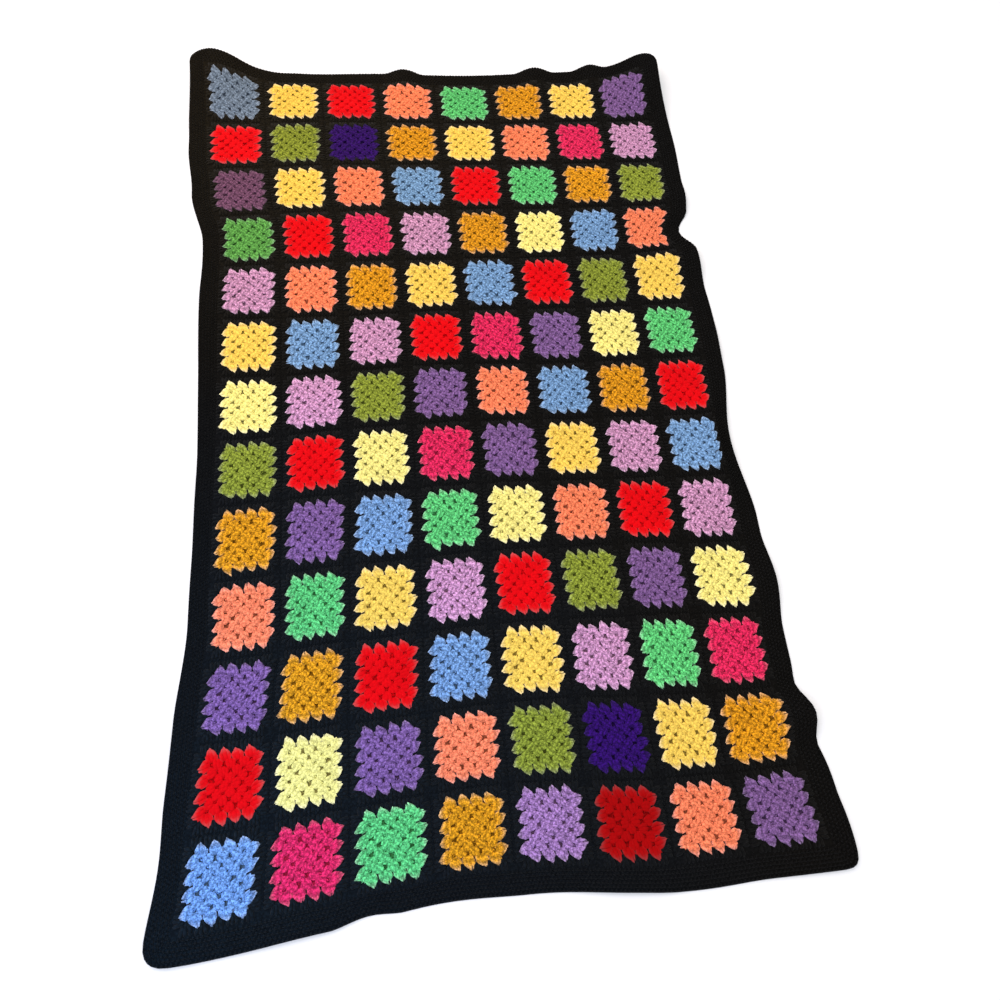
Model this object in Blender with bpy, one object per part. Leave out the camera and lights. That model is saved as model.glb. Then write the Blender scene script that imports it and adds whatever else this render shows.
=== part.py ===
"""Granny square blanket: 8 by 13 crocheted squares joined edge to edge, with a crocheted edging all round.

It lies spread out on a flat surface, as it was thrown down: the corners are pulled outwards, the two far
ones stand up a little, and the edging ruffles. Units are metres, +Z is up, and +Y runs along the blanket
from its near end. A point of the cloth is named by its place on the cloth laid out square, (s across,
t along), from the middle.
"""

import math

import bmesh
import bpy
from mathutils import Matrix, Vector

# The cloth, laid out square.
COLUMNS = 8
ROWS = 13
SQUARE_WIDTH = 0.125
SQUARE_LENGTH = 0.133  # the squares hang a little long, as worn crochet does
EDGING_WIDTH = 0.036
# The edging's corners: near right, far right, far left and near left. 2 makes one round, and more squarer.
CORNER_SQUARENESS = (4.0, 2.5, 2.1, 2.5)
HALF_WIDTH = COLUMNS * SQUARE_WIDTH / 2
HALF_LENGTH = ROWS * SQUARE_LENGTH / 2

# The yarn makes a thick cloth, thinner in the joins between the squares and at the outer edge.
PANEL_THICKNESS = 0.0045
SEAM_THICKNESS = 0.0037
EDGING_THICKNESS = 0.0042
RIM_THICKNESS = 0.0034
JOIN_GAP = 0.0008

# How finely the solids follow the cloth.
CELLS_PER_SQUARE = 4
CELLS_PER_CORNER = 4
CELLS_ACROSS_EDGING = 2
# Joins the edging's strip into a ring, and its cells on one corner of the squares into one point.
WELD = 0.0008

MM = 0.001

# How each cross section of the cloth lies, in millimetres from where it would lie square: its left and right
# ends sideways, and five points across it, from left to right, lengthways.
#    t along  left  right   five points lengthways
SECTIONS = (
    (0.90, (-31, 15), (-5, -11, -17, -12, -2)),
    (0.66, (-22, 12), (-7, -4, -7, -7, -2)),
    (0.53, (-11, 8), (-5, 1, 1, -1, 2)),
    (0.40, (12, -2), (-4, 3, 1, 2, 6)),
    (0.13, (15, 0), (0, 3, 2, -2, 1)),
    (-0.13, (17, -4), (-2, 8, 9, 3, -3)),
    (-0.40, (13, -9), (-11, 2, 7, 4, -8)),
    (-0.56, (2, -12), (-13, -1, 5, -3, -12)),
    (-0.90, (-21, 8), (-18, 3, 14, -6, -8)),
)

# The ruffles of the edges. at is the place along the side, reach how far the ruffle runs each way along it,
# depth how far it runs into the cloth and crest how far inside the edge it stands highest, in metres. out is
# how far it pushes the edge outwards and lift how high it stands, in millimetres.
#    side     at      reach  depth  crest  out lift
RUFFLES = (
    ("right", 0.800, 0.130, 0.060, 0.000, -6, 4),
    ("right", 0.475, 0.060, 0.100, 0.000, 0, 9),
    ("right", 0.386, 0.055, 0.130, 0.000, -24, 0),
    ("right", 0.310, 0.080, 0.170, 0.000, 2, 13),
    ("right", 0.170, 0.120, 0.060, 0.000, 4, 0),
    ("right", 0.080, 0.090, 0.080, 0.000, -1, 6),
    ("right", -0.130, 0.160, 0.065, 0.036, -22, 12),
    ("right", -0.310, 0.120, 0.050, 0.000, -1, 0),
    ("right", -0.410, 0.090, 0.090, 0.000, 7, 6),
    ("right", -0.604, 0.045, 0.055, 0.000, -4, 0),
    ("right", -0.650, 0.056, 0.090, 0.000, 13, 13),
    ("right", -0.735, 0.060, 0.060, 0.000, 6, 0),
    ("right", -0.820, 0.110, 0.060, 0.000, 5, 0),
    ("left", 0.850, 0.140, 0.060, 0.000, -10, 0),
    ("left", 0.360, 0.100, 0.060, 0.000, -4, 0),
    ("left", 0.190, 0.120, 0.080, 0.000, 0, 5),
    ("left", -0.190, 0.100, 0.070, 0.000, 0, 6),
    ("left", -0.220, 0.480, 0.050, 0.000, -6, 0),
    ("left", -0.600, 0.110, 0.080, 0.000, 0, 5),
    ("left", -0.780, 0.100, 0.060, 0.000, -6, 0),
    ("far", -0.400, 0.100, 0.060, 0.000, -8, 0),
    ("far", -0.520, 0.050, 0.060, 0.000, -5, 0),
    ("far", -0.460, 0.070, 0.090, 0.000, 4, 9),
    ("far", -0.065, 0.045, 0.090, 0.000, 4, 10),
    ("far", 0.235, 0.050, 0.090, 0.000, 4, 12),
    ("far", 0.365, 0.045, 0.070, 0.000, 3, 10),
    ("far", 0.070, 0.280, 0.060, 0.000, -8, 0),
    ("far", -0.250, 0.190, 0.060, 0.000, -11, 0),
    ("far", 0.430, 0.070, 0.060, 0.000, -13, 0),
    ("near", 0.070, 0.180, 0.060, 0.000, -2, 0),
    ("near", -0.130, 0.150, 0.060, 0.000, -8, 0),
    ("near", -0.225, 0.055, 0.060, 0.000, -8, 0),
    ("near", -0.330, 0.130, 0.060, 0.000, 1, 5),
    ("near", 0.290, 0.110, 0.060, 0.000, 4, 0),
    ("near", 0.170, 0.110, 0.080, 0.000, 0, 5),
)

# Where the cloth was pulled as it was laid: first its corners, then inside it. s, t and reach, how far the
# pull is felt, are in metres, and the pull and the lift in millimetres.
#    s       t      reach  across along lift
PULLS = (
    (-0.536, 0.900, 0.210, 2, 15, 38),
    (0.536, 0.900, 0.210, -9, 14, 36),
    (-0.536, -0.900, 0.160, -2, 1, 4),
    (0.536, -0.900, 0.200, 9, -1, 3),
    (0.395, -0.712, 0.065, -7, -1, 0),
    (-0.187, -0.798, 0.080, 0, 4, 0),
    (0.437, 0.798, 0.130, -2, -5, 0),
    (0.125, 0.798, 0.170, 1, -4, 0),
    (-0.437, 0.798, 0.130, -2, -3, 0),
    (0.250, 0.598, 0.400, 4, 2, 0),
    (-0.187, 0.598, 0.300, -2, 3, 0),
    (0.187, 0.399, 0.130, 0, -4, 0),
    (-0.250, 0.200, 0.220, 0, -4, 0),
    (-0.062, 0.066, 0.220, -1, 4, 0),
    (-0.375, 0.000, 0.170, 0, -4, 0),
    (0.000, -0.266, 0.400, -1, 3, 0),
    (-0.250, -0.399, 0.170, -3, -1, 0),
    (-0.437, -0.466, 0.170, 3, -2, 0),
    (0.125, -0.598, 0.300, 5, 2, 0),
    (-0.312, -0.598, 0.170, -4, -2, 0),
    (0.312, -0.665, 0.220, 0, -5, 0),
    (-0.125, -0.798, 0.170, 3, 5, 0),
)

YARN_ROUGHNESS = 0.9
YARN_BLACK = (0.012, 0.012, 0.014, 1.0)
YARNS_MIXED = (0.30, 0.20, 0.22, 1.0)


def swell(distance, reach):
    """1 at distance 0, falling smoothly to 0 at reach and beyond."""
    share = min(abs(distance) / reach, 1.0)
    return (1.0 - share * share) ** 2


def between(rows, at, column):
    """The value in this column of the table's rows at t, on a smooth curve through them."""
    for (high, *upper), (low, *lower) in zip(rows, rows[1:]):
        if at >= low:
            break
    share = min(max((high - at) / (high - low), 0.0), 1.0)
    share = share * share * (3.0 - 2.0 * share)
    return (1.0 - share) * column(upper) + share * column(lower)


def section_shift(s, t):
    """How far the cross sections move the point (s, t): across and along, in metres."""
    place = min(max(s / (2.0 * HALF_WIDTH) + 0.5, -0.1), 1.1)
    across = between(SECTIONS, t, lambda row: (1.0 - place) * row[0][0] + place * row[0][1])
    quarter = min(max(place * 4.0, 0.0), 4.0)
    step = min(int(quarter), 3)
    share = quarter - step
    share = share * share * (3.0 - 2.0 * share)
    along = between(SECTIONS, t, lambda row: (1.0 - share) * row[1][step] + share * row[1][step + 1])
    return across * MM, along * MM


def lie(s, t):
    """Where the underside of the cloth's point (s, t) lies: x, y and z."""
    half_width = HALF_WIDTH + EDGING_WIDTH
    half_length = HALF_LENGTH + EDGING_WIDTH
    across, along = section_shift(s, t)
    lift = 0.0
    for side, at, reach, depth, crest, out, up in RUFFLES:
        sideways = side in ("left", "right")
        sign = 1.0 if side in ("right", "far") else -1.0
        inwards = (half_width - sign * s) if sideways else (half_length - sign * t)
        beside = swell((t if sideways else s) - at, reach)
        pushed = sign * out * MM * beside * swell(inwards, depth)
        across += pushed if sideways else 0.0
        along += 0.0 if sideways else pushed
        lift += up * MM * beside * swell(inwards - crest, depth)
    for at_s, at_t, reach, pull_across, pull_along, up in PULLS:
        weight = swell(math.hypot(s - at_s, t - at_t), reach)
        across += pull_across * MM * weight
        along += pull_along * MM * weight
        lift += up * MM * weight
    return Vector((s + across, t + along, lift))


def panel_place(column, row):
    """The place on the cloth, and the thickness there, of this point of the squares' grid."""
    share_across = 2.0 * column / (COLUMNS * CELLS_PER_SQUARE) - 1.0
    share_along = 2.0 * row / (ROWS * CELLS_PER_SQUARE) - 1.0
    s = share_across * (HALF_WIDTH - JOIN_GAP / 2.0)
    t = share_along * (HALF_LENGTH - JOIN_GAP / 2.0)
    in_seam = column % CELLS_PER_SQUARE == 0 or row % CELLS_PER_SQUARE == 0
    return s, t, SEAM_THICKNESS if in_seam else PANEL_THICKNESS


def edging_stations():
    """The stations round the squares: a point on their edge, and how far the edging reaches from it."""
    stations = []
    corners = ((1, -1), (1, 1), (-1, 1), (-1, -1))
    for turn, (s_sign, t_sign) in enumerate(corners):
        s_last, t_last = corners[turn - 1]
        squareness = CORNER_SQUARENESS[turn]
        start = Vector((s_last * HALF_WIDTH, t_last * HALF_LENGTH))
        end = Vector((s_sign * HALF_WIDTH, t_sign * HALF_LENGTH))
        outwards = math.radians(90.0 * (turn - 1))
        cells = CELLS_PER_SQUARE * (ROWS if turn % 2 else COLUMNS)
        side_reach = Vector((math.cos(outwards), math.sin(outwards)))
        stations += [(start.lerp(end, cell / cells), side_reach) for cell in range(cells + 1)]
        for cell in range(1, CELLS_PER_CORNER):
            angle = outwards + math.radians(90.0 * cell / CELLS_PER_CORNER)
            across, along = math.cos(angle), math.sin(angle)
            power = abs(across) ** squareness + abs(along) ** squareness
            stations.append((end, Vector((across, along)) * power ** (-1.0 / squareness)))
    return stations


def edging_place(station, step):
    """The place on the cloth, and the thickness there, of this point of the edging's ring."""
    edge, reach = STATIONS[station % len(STATIONS)]
    share = step / CELLS_ACROSS_EDGING
    s, t = edge + reach * (JOIN_GAP / 2.0 + share * (EDGING_WIDTH - JOIN_GAP / 2.0))
    return s, t, (1.0 - share) * EDGING_THICKNESS + share * RIM_THICKNESS


def cloth_mesh(name, columns, rows, place):
    """A closed piece of cloth: a grid laid on the cloth's plan, thickened, and laid as the blanket lies."""
    work = bmesh.new()
    bmesh.ops.create_grid(work, x_segments=columns, y_segments=rows, size=0.5)
    thickness = work.verts.layers.float.new("thickness")
    for vert in work.verts:
        column = round((vert.co.x + 0.5) * columns)
        row = round((vert.co.y + 0.5) * rows)
        vert.co.x, vert.co.y, vert[thickness] = place(column, row)
    bmesh.ops.remove_doubles(work, verts=work.verts, dist=WELD)
    extruded = bmesh.ops.extrude_face_region(work, geom=work.faces[:], use_keep_orig=True)
    top = {item for item in extruded["geom"] if isinstance(item, bmesh.types.BMVert)}
    for vert in work.verts:
        height = vert[thickness] if vert in top else 0.0
        vert.co = lie(vert.co.x, vert.co.y) + Vector((0.0, 0.0, height))
    bmesh.ops.recalc_face_normals(work, faces=work.faces)
    mesh = bpy.data.meshes.new(name)
    work.to_mesh(mesh)
    work.free()
    return mesh


def yarn(name, colour):
    """Matt yarn of this colour."""
    material = bpy.data.materials.new(name)
    material.use_nodes = True
    shader = material.node_tree.nodes["Principled BSDF"]
    shader.inputs["Base Color"].default_value = colour
    shader.inputs["Roughness"].default_value = YARN_ROUGHNESS
    shader.inputs["Metallic"].default_value = 0.0
    return material


def main():
    for old in list(bpy.data.objects):
        bpy.data.objects.remove(old)
    panel = cloth_mesh("squares_panel", COLUMNS * CELLS_PER_SQUARE, ROWS * CELLS_PER_SQUARE, panel_place)
    panel.materials.append(yarn("yarns_of_the_squares", YARNS_MIXED))
    edging = cloth_mesh("edging", len(STATIONS), CELLS_ACROSS_EDGING, edging_place)
    edging.materials.append(yarn("black_yarn", YARN_BLACK))
    # The origin is the middle of the blanket's box, on the surface it lies on.
    points = [vert.co for mesh in (panel, edging) for vert in mesh.vertices]
    middle = [(min(p[axis] for p in points) + max(p[axis] for p in points)) / 2.0 for axis in (0, 1)]
    for mesh in (panel, edging):
        mesh.transform(Matrix.Translation((-middle[0], -middle[1], 0.0)))
        bpy.context.collection.objects.link(bpy.data.objects.new(mesh.name, mesh))


STATIONS = edging_stations()

main()
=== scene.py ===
"""The looks of a granny square blanket: its stitches, yarns and light.

Every stitch is modelled. A few stitch shapes are made once with bmesh and set down in their hundreds on the
blanket's plan, where it is laid flat and square. Then the plan is laid as the blanket lies. Lengths are
metres unless a name says otherwise. A place on the plan is (s, t) from its middle: s across it, and t along
it to its far end.
"""

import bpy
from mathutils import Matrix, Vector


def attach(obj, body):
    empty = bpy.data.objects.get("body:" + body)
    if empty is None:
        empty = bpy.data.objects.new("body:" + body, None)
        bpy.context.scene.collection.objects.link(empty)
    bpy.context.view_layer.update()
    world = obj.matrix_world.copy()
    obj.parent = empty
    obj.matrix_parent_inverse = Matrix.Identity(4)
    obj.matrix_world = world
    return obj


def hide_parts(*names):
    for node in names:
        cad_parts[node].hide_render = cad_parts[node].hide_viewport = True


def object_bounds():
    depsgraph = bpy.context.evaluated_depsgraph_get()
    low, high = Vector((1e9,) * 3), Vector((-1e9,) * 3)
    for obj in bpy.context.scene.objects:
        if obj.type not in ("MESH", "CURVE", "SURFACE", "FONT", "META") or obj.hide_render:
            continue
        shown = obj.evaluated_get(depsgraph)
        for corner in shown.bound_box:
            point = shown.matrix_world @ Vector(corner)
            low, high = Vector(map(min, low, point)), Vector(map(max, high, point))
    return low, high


bl_info = {
    "name": "Granny Square Blanket",
    "version": (1, 0, 0),
    "blender": (4, 5, 0),
    "location": "3D View > Sidebar > Blanket",
    "description": "Builds a crocheted granny square blanket stitch by stitch on its packed solids",
    "category": "Object",
}

import math

import bmesh
import bpy
import numpy as np
from bpy.props import FloatProperty, FloatVectorProperty, PointerProperty
from mathutils import Matrix, Vector

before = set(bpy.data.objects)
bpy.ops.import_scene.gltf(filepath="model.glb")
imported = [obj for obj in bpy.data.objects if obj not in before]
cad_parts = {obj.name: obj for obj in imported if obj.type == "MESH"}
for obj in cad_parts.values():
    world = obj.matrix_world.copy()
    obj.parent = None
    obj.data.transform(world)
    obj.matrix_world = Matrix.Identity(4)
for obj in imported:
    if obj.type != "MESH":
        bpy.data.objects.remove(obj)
CAD_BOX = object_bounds()
ROOT = "root"
MM = 0.001

# ----------------------------------------
# The blanket, laid square. These repeat the solids' own sizes.

COLUMNS = 8
ROWS = 13
SQUARE_WIDTH = 0.125
SQUARE_LENGTH = 0.133
EDGING_WIDTH = 0.036
# The edging's rounded corners: near right, far right, far left and near left. 2 is a round one.
CORNER_SQUARENESS = (4.0, 2.5, 2.1, 2.5)
HALF_WIDTH = COLUMNS * SQUARE_WIDTH / 2
HALF_LENGTH = ROWS * SQUARE_LENGTH / 2
OUTER_WIDTH = HALF_WIDTH + EDGING_WIDTH
OUTER_LENGTH = HALF_LENGTH + EDGING_WIDTH

# How each cross section of the cloth lies, in millimetres from where it would lie square: its left and right
# ends sideways, and five points across it, from left to right, lengthways.
#    t along  left  right   five points lengthways
SECTIONS = (
    (0.90, (-31, 15), (-5, -11, -17, -12, -2)),
    (0.66, (-22, 12), (-7, -4, -7, -7, -2)),
    (0.53, (-11, 8), (-5, 1, 1, -1, 2)),
    (0.40, (12, -2), (-4, 3, 1, 2, 6)),
    (0.13, (15, 0), (0, 3, 2, -2, 1)),
    (-0.13, (17, -4), (-2, 8, 9, 3, -3)),
    (-0.40, (13, -9), (-11, 2, 7, 4, -8)),
    (-0.56, (2, -12), (-13, -1, 5, -3, -12)),
    (-0.90, (-21, 8), (-18, 3, 14, -6, -8)),
)

# The ruffles of the edges. at is the place along the side, reach how far the ruffle runs each way along it,
# depth how far it runs into the cloth and crest how far inside the edge it stands highest, in metres. out is
# how far it pushes the edge outwards and lift how high it stands, in millimetres.
#    side     at      reach  depth  crest  out lift
RUFFLES = (
    ("right", 0.800, 0.130, 0.060, 0.000, -6, 4),
    ("right", 0.475, 0.060, 0.100, 0.000, 0, 9),
    ("right", 0.386, 0.055, 0.130, 0.000, -24, 0),
    ("right", 0.310, 0.080, 0.170, 0.000, 2, 13),
    ("right", 0.170, 0.120, 0.060, 0.000, 4, 0),
    ("right", 0.080, 0.090, 0.080, 0.000, -1, 6),
    ("right", -0.130, 0.160, 0.065, 0.036, -22, 12),
    ("right", -0.310, 0.120, 0.050, 0.000, -1, 0),
    ("right", -0.410, 0.090, 0.090, 0.000, 7, 6),
    ("right", -0.604, 0.045, 0.055, 0.000, -4, 0),
    ("right", -0.650, 0.056, 0.090, 0.000, 13, 13),
    ("right", -0.735, 0.060, 0.060, 0.000, 6, 0),
    ("right", -0.820, 0.110, 0.060, 0.000, 5, 0),
    ("left", 0.850, 0.140, 0.060, 0.000, -10, 0),
    ("left", 0.360, 0.100, 0.060, 0.000, -4, 0),
    ("left", 0.190, 0.120, 0.080, 0.000, 0, 5),
    ("left", -0.190, 0.100, 0.070, 0.000, 0, 6),
    ("left", -0.220, 0.480, 0.050, 0.000, -6, 0),
    ("left", -0.600, 0.110, 0.080, 0.000, 0, 5),
    ("left", -0.780, 0.100, 0.060, 0.000, -6, 0),
    ("far", -0.400, 0.100, 0.060, 0.000, -8, 0),
    ("far", -0.520, 0.050, 0.060, 0.000, -5, 0),
    ("far", -0.460, 0.070, 0.090, 0.000, 4, 9),
    ("far", -0.065, 0.045, 0.090, 0.000, 4, 10),
    ("far", 0.235, 0.050, 0.090, 0.000, 4, 12),
    ("far", 0.365, 0.045, 0.070, 0.000, 3, 10),
    ("far", 0.070, 0.280, 0.060, 0.000, -8, 0),
    ("far", -0.250, 0.190, 0.060, 0.000, -11, 0),
    ("far", 0.430, 0.070, 0.060, 0.000, -13, 0),
    ("near", 0.070, 0.180, 0.060, 0.000, -2, 0),
    ("near", -0.130, 0.150, 0.060, 0.000, -8, 0),
    ("near", -0.225, 0.055, 0.060, 0.000, -8, 0),
    ("near", -0.330, 0.130, 0.060, 0.000, 1, 5),
    ("near", 0.290, 0.110, 0.060, 0.000, 4, 0),
    ("near", 0.170, 0.110, 0.080, 0.000, 0, 5),
)

# Where the cloth was pulled as it was laid: first its corners, then inside it. s, t and reach, how far the
# pull is felt, are in metres, and the pull and the lift in millimetres.
#    s       t      reach  across along lift
PULLS = (
    (-0.536, 0.900, 0.210, 2, 15, 38),
    (0.536, 0.900, 0.210, -9, 14, 36),
    (-0.536, -0.900, 0.160, -2, 1, 4),
    (0.536, -0.900, 0.200, 9, -1, 3),
    (0.395, -0.712, 0.065, -7, -1, 0),
    (-0.187, -0.798, 0.080, 0, 4, 0),
    (0.437, 0.798, 0.130, -2, -5, 0),
    (0.125, 0.798, 0.170, 1, -4, 0),
    (-0.437, 0.798, 0.130, -2, -3, 0),
    (0.250, 0.598, 0.400, 4, 2, 0),
    (-0.187, 0.598, 0.300, -2, 3, 0),
    (0.187, 0.399, 0.130, 0, -4, 0),
    (-0.250, 0.200, 0.220, 0, -4, 0),
    (-0.062, 0.066, 0.220, -1, 4, 0),
    (-0.375, 0.000, 0.170, 0, -4, 0),
    (0.000, -0.266, 0.400, -1, 3, 0),
    (-0.250, -0.399, 0.170, -3, -1, 0),
    (-0.437, -0.466, 0.170, 3, -2, 0),
    (0.125, -0.598, 0.300, 5, 2, 0),
    (-0.312, -0.598, 0.170, -4, -2, 0),
    (0.312, -0.665, 0.220, 0, -5, 0),
    (-0.125, -0.798, 0.170, 3, 5, 0),
)


def swell(distance, reach):
    """1 at distance 0, falling smoothly to 0 at reach and beyond."""
    share = np.minimum(np.abs(distance) / reach, 1.0)
    return (1.0 - share * share) ** 2


def smooth(share):
    """0 to 1, with a level start and end."""
    share = np.clip(share, 0.0, 1.0)
    return share * share * (3.0 - 2.0 * share)


def section_shift(s, t):
    """How far the cross sections move the points: across and along, in metres."""
    across, along = np.zeros_like(s), np.zeros_like(s)
    place = np.clip(s / (2.0 * HALF_WIDTH) + 0.5, -0.1, 1.1)
    quarter = np.clip(place * 4.0, 0.0, 4.0)
    step = np.minimum(quarter.astype(int), 3)
    share = smooth(quarter - step)
    heights = [row[0] for row in SECTIONS]
    for number, (height, ends, five) in enumerate(SECTIONS):
        weight = np.ones_like(t)
        if number:
            weight = weight * smooth((heights[number - 1] - t) / (heights[number - 1] - height))
        if number + 1 < len(SECTIONS):
            weight = weight * smooth((t - heights[number + 1]) / (height - heights[number + 1]))
        five = np.array(five, float)
        across += weight * ((1.0 - place) * ends[0] + place * ends[1])
        along += weight * ((1.0 - share) * five[step] + share * five[step + 1])
    return across * MM, along * MM


def lie(s, t):
    """Where the underside of the cloth's points lies, as an array of x, y and z."""
    across, along = section_shift(s, t)
    lift = np.zeros_like(s)
    for side, at, reach, depth, crest, out, up in RUFFLES:
        sideways = side in ("left", "right")
        sign = 1.0 if side in ("right", "far") else -1.0
        inwards = (OUTER_WIDTH - sign * s) if sideways else (OUTER_LENGTH - sign * t)
        beside = swell((t if sideways else s) - at, reach)
        pushed = sign * out * MM * beside * swell(inwards, depth)
        if sideways:
            across = across + pushed
        else:
            along = along + pushed
        lift = lift + up * MM * beside * swell(inwards - crest, depth)
    for at_s, at_t, reach, pull_across, pull_along, up in PULLS:
        weight = swell(np.hypot(s - at_s, t - at_t), reach)
        across = across + pull_across * MM * weight
        along = along + pull_along * MM * weight
        lift = lift + up * MM * weight
    return np.stack([s + across, t + along, lift], axis=-1)


def rounded(s, t):
    """The points, with those beyond a corner of the squares drawn in to the edging's rounded corner."""
    beyond_s, beyond_t = np.abs(s) - HALF_WIDTH, np.abs(t) - HALF_LENGTH
    in_corner = (beyond_s > 0) & (beyond_t > 0)
    u, v = np.where(in_corner, beyond_s, 1.0), np.where(in_corner, beyond_t, 1.0)
    near_right, far_right, far_left, near_left = CORNER_SQUARENESS
    n = np.where(t > 0, np.where(s > 0, far_right, far_left), np.where(s > 0, near_right, near_left))
    scale = np.where(in_corner, np.maximum(u, v) / (u**n + v**n) ** (1.0 / n), 1.0)
    s = np.where(in_corner, np.sign(s) * (HALF_WIDTH + u * scale), s)
    t = np.where(in_corner, np.sign(t) * (HALF_LENGTH + v * scale), t)
    return s, t


EDGE_POINTS = 2001  # along each side, close enough to find where it reaches furthest


def blanket_offset():
    """From the plan's middle to the middle of the solids' box, which is the origin."""
    side = np.linspace(-1.0, 1.0, EDGE_POINTS)
    start, end = np.full_like(side, -1.0), np.ones_like(side)
    edge_s = OUTER_WIDTH * np.concatenate([side, side, start, end])
    edge_t = OUTER_LENGTH * np.concatenate([start, end, side, side])
    edge = lie(*rounded(edge_s, edge_t))
    low, high = CAD_BOX
    shifts = [low[axis] + high[axis] - edge[:, axis].min() - edge[:, axis].max() for axis in (0, 1)]
    return np.array(shifts) / 2


OFFSET = blanket_offset()


def laid(s, t, height):
    """World points of places on the plan, at this height above the cloth's underside."""
    points = lie(s, t)
    points[..., :2] += OFFSET
    points[..., 2] += height
    return points


# ----------------------------------------
# The yarns, and which square has which

# Worsted acrylic yarn as it looks in good light, in sRGB.
YARNS = {
    "red": "#DC010A",
    "cherry": "#A20002",
    "yellow": "#F0C753",
    "primrose": "#F1E17C",
    "salmon": "#F57F55",
    "mustard": "#D79017",
    "green": "#5BC06C",
    "leaf": "#5A9A46",
    "blue": "#7499C0",
    "slate": "#6D7D93",
    "lilac": "#C78EB0",
    "violet": "#A075A4",
    "purple": "#7A5788",
    "plum": "#6C4660",
    "magenta": "#DD2755",
    "indigo": "#2F0B5E",
    "olive": "#848F2F",
}
BLACK_YARN = "#0E0C09"
BLUE_BLACK = "#0C1924"  # the black under the painted cool light at the near left
BROWN_BLACK = "#1F190D"  # and under the painted warm light at the far end
# Yarns whose strong colour hides their texture, and how much of it still shows.
SMOOTH_YARNS = {"red": 0.2, "cherry": 0.1, "yellow": 0.65, "primrose": 0.7, "salmon": 0.95}
TEXTURE = 1.25  # of all other yarns
# The ground's top is painted shade for the holes: how light it is under a yarn, as a share of the yarn's
# colour, and under the bright yarns listed here.
PAINTED_GROUND_SHADE = 0.42
CLEAR_YARNS = {"red": 1.25, "cherry": 1.25, "magenta": 0.75}

# A scrap blanket: each square takes whatever yarn comes next, so the rows have no repeat. The first row is
# the far one.
LAYOUT = """
    slate    yellow   red      salmon  green    mustard yellow   purple
    red      olive    indigo   mustard yellow   salmon  magenta  lilac
    plum     yellow   salmon   blue    red      green   mustard  olive
    leaf     red      magenta  lilac   mustard  primrose blue    salmon
    lilac    salmon   mustard  yellow  blue     red     olive    yellow
    yellow   blue     lilac    red     magenta  purple  primrose green
    primrose lilac    olive    purple  salmon   blue    mustard  red
    olive    red      primrose magenta purple   yellow  lilac    blue
    mustard  purple   blue     green   primrose salmon  red      lilac
    salmon   green    yellow   lilac   red      olive   purple   primrose
    purple   mustard  red      blue    yellow   lilac   green    magenta
    red      primrose purple   salmon  olive    indigo  yellow   mustard
    blue     magenta  green    mustard violet   cherry  salmon   purple
"""


def linear(colour):
    """The linear red, green and blue of an sRGB hex colour."""
    shares = [int(colour[place : place + 2], 16) / 255.0 for place in (1, 3, 5)]
    return tuple(c / 12.92 if c <= 0.04045 else ((c + 0.055) / 1.055) ** 2.4 for c in shares)


# ----------------------------------------
# The stitches of a square, in rounds: one round's height is the unit. x runs along the side and y outwards,
# from the gap that the cluster is worked into.

ROUNDS_ACROSS = 11.9  # a square is this many rounds wide, joins included
COLOURED_ROUNDS = 4
BLACK_ROUND = 5

# The three double crochets of a cluster, from its left. They fan out, and each lies over the head of the
# stitch below it on its left and under the one on its right. Places and half widths are in rounds, and the
# tops of the yarn, at the stitch's foot and at its head, in millimetres.
#   foot x, y     bend x, y     head x, y   half width, foot top, head top
CLUSTER = (
    (-0.16, 0.17, -0.62, 0.66, -0.56, 1.62, 0.39, 4.5, 4.4),
    (0.02, 0.15, 0.03, 0.85, -0.08, 1.64, 0.43, 4.4, 4.2),
    (0.18, 0.17, 0.46, 0.60, 0.38, 1.54, 0.38, 4.1, 3.8),
)
# Nothing holds the heads of the last coloured round apart, so each cluster draws to a tooth that leans left.
LAST_CLUSTER = (
    (-0.20, 0.26, -1.14, 0.86, -0.62, 2.06, 0.37, 4.4, 4.3),
    (0.02, 0.24, 0.00, 1.06, -0.56, 2.20, 0.43, 4.3, 4.2),
    (0.22, 0.26, 1.24, 0.84, -0.46, 1.98, 0.41, 4.2, 4.1),
)
# The chains along the clusters' heads.
CLUSTER_RIM = (
    (-0.84, 0.82, -0.93, 1.32, -0.70, 1.50, 0.12, 4.2, 4.3),
    (-0.82, 1.48, -0.42, 1.64, -0.02, 1.52, 0.13, 4.4, 4.3),
    (-0.10, 1.54, 0.30, 1.34, 0.62, 0.92, 0.12, 4.3, 4.0),
)
# The chain that a round turns its corners by. It crosses the hole there.
CORNER_CHAIN = (
    (-0.45, -0.45, 0.02, -0.02, 0.40, 0.40, 0.22, 3.8, 3.8),
)
# A cluster of the black last round, which ends in a straight edge.
BLACK_CLUSTER = (
    (-0.20, 0.26, -0.60, 0.84, -0.68, 1.86, 0.34, 4.7, 3.4),
    (-0.02, 0.18, -0.04, 0.90, -0.02, 1.88, 0.34, 4.7, 3.4),
    (0.16, 0.34, 0.42, 0.80, 0.64, 1.86, 0.34, 3.7, 3.4),
)

# Heights above the cloth's underside, in millimetres. A stitch's yarn lies between its foot and its top.
GROUND_TOP = 1.3
POST_FOOT = 0.5
RIM_FOOT = 1.8
BLACK_FOOT = 0.2
JOIN_FOOT = 0.4
JOIN_TOP = 3.0
EDGING_FOOT = 0.3
EDGING_TOP = 3.9

# Sections across a stitch: x from -1 to 1 and z from 0 to 1. The map column is where each corner of the
# section falls across the yarn's map, with the hidden underside last and narrow.
#    x     z    map
GROOVED = ((-1.0, 0.58, 0.00), (-0.70, 0.91, 0.20), (0.0, 0.94, 0.46), (0.70, 0.91, 0.72), (1.0, 0.58, 0.92))
ROUNDED = ((-1.0, 0.10, 0.00), (-0.45, 1.00, 0.30), (0.45, 1.00, 0.60), (1.0, 0.10, 0.90))
RIDGED = ((-1.0, 0.00, 0.00), (0.0, 1.00, 0.45), (1.0, 0.00, 0.90))

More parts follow.
